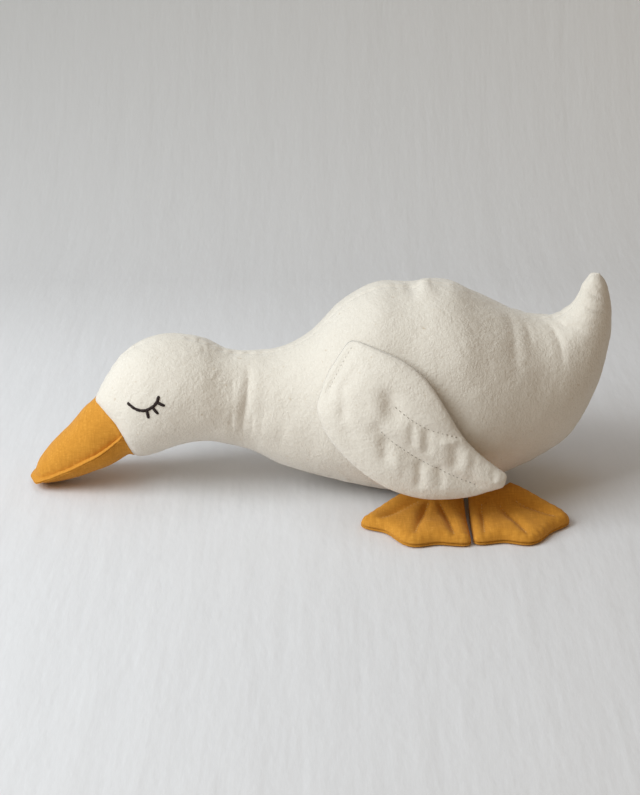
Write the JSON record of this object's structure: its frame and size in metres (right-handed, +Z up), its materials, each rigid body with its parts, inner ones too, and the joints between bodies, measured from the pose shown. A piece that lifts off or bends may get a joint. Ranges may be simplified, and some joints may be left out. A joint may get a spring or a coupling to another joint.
{
  "type": "plush duck",
  "caption": "Stuffed cotton duck lying on its belly with its neck stretched out, for cuddling or display; the neck bends, and the wings and webbed feet flap on their seams.",
  "frame": {"origin": "centre of the small flat area under the belly on which the duck rests", "axes": "+Z up, -X from the belly towards the beak, +X towards the tail, -Y the duck's left side, on which both feet lie"},
  "size_m": [0.3879, 0.1694, 0.148],
  "materials": {
    "cream_cotton": "matte brushed flannel",
    "mustard_cotton": "matte plain weave",
    "brown_thread": "satin thread",
    "wadding": "fibre filling"
  },
  "bodies": {
    "torso": {"body_side_left": "cream_cotton", "body_side_right": "cream_cotton", "belly_gusset": "cream_cotton", "body_stuffing": "wadding", "tail_stuffing": "wadding", "neck_skin": "cream_cotton", "neck_stuffing": "wadding"},
    "head": {"head_side_left": "cream_cotton", "head_side_right": "cream_cotton", "head_stuffing": "wadding", "upper_beak": "mustard_cotton", "lower_beak": "mustard_cotton", "beak_stuffing": "wadding", "eye_left": "brown_thread", "eye_right": "brown_thread"},
    "wing_left": {"left_wing_outer": "cream_cotton", "left_wing_lining": "cream_cotton", "left_wing_wadding": "wadding"},
    "wing_right": {"right_wing_outer": "cream_cotton", "right_wing_lining": "cream_cotton", "right_wing_wadding": "wadding"},
    "foot_front": {"front_foot_top": "mustard_cotton", "front_foot_sole": "mustard_cotton", "front_foot_wadding": "wadding"},
    "foot_rear": {"rear_foot_top": "mustard_cotton", "rear_foot_sole": "mustard_cotton", "rear_foot_wadding": "wadding"}
  },
  "joints": [
    {"name": "neck_nod", "type": "hinge", "parent": "torso", "child": "head", "pos_m": [-0.12, 0, 0.06075], "axis": [0, 1, 0], "range_deg": [-15, 30], "stiffness_Nm_per_rad": 0.4, "deforming": ["neck_skin", "neck_stuffing"]},
    {"name": "wing_left_flap", "type": "hinge", "parent": "torso", "child": "wing_left", "pos_m": [-0.06091, -0.04097, 0.10393], "axis": [-0.5148, -0.2007, -0.8335], "range_deg": [0, 70]},
    {"name": "wing_right_flap", "type": "hinge", "parent": "torso", "child": "wing_right", "pos_m": [-0.06091, 0.04097, 0.10393], "axis": [0.5148, -0.2007, 0.8335], "range_deg": [0, 70]},
    {"name": "foot_front_flap", "type": "hinge", "parent": "torso", "child": "foot_front", "pos_m": [0.003, -0.03715, 0.01137], "axis": [1, 0, 0], "range_deg": [-8, 45]},
    {"name": "foot_rear_flap", "type": "hinge", "parent": "torso", "child": "foot_rear", "pos_m": [0.042, -0.03604, 0.01273], "axis": [1, 0, 0], "range_deg": [-8, 45]}
  ]
}
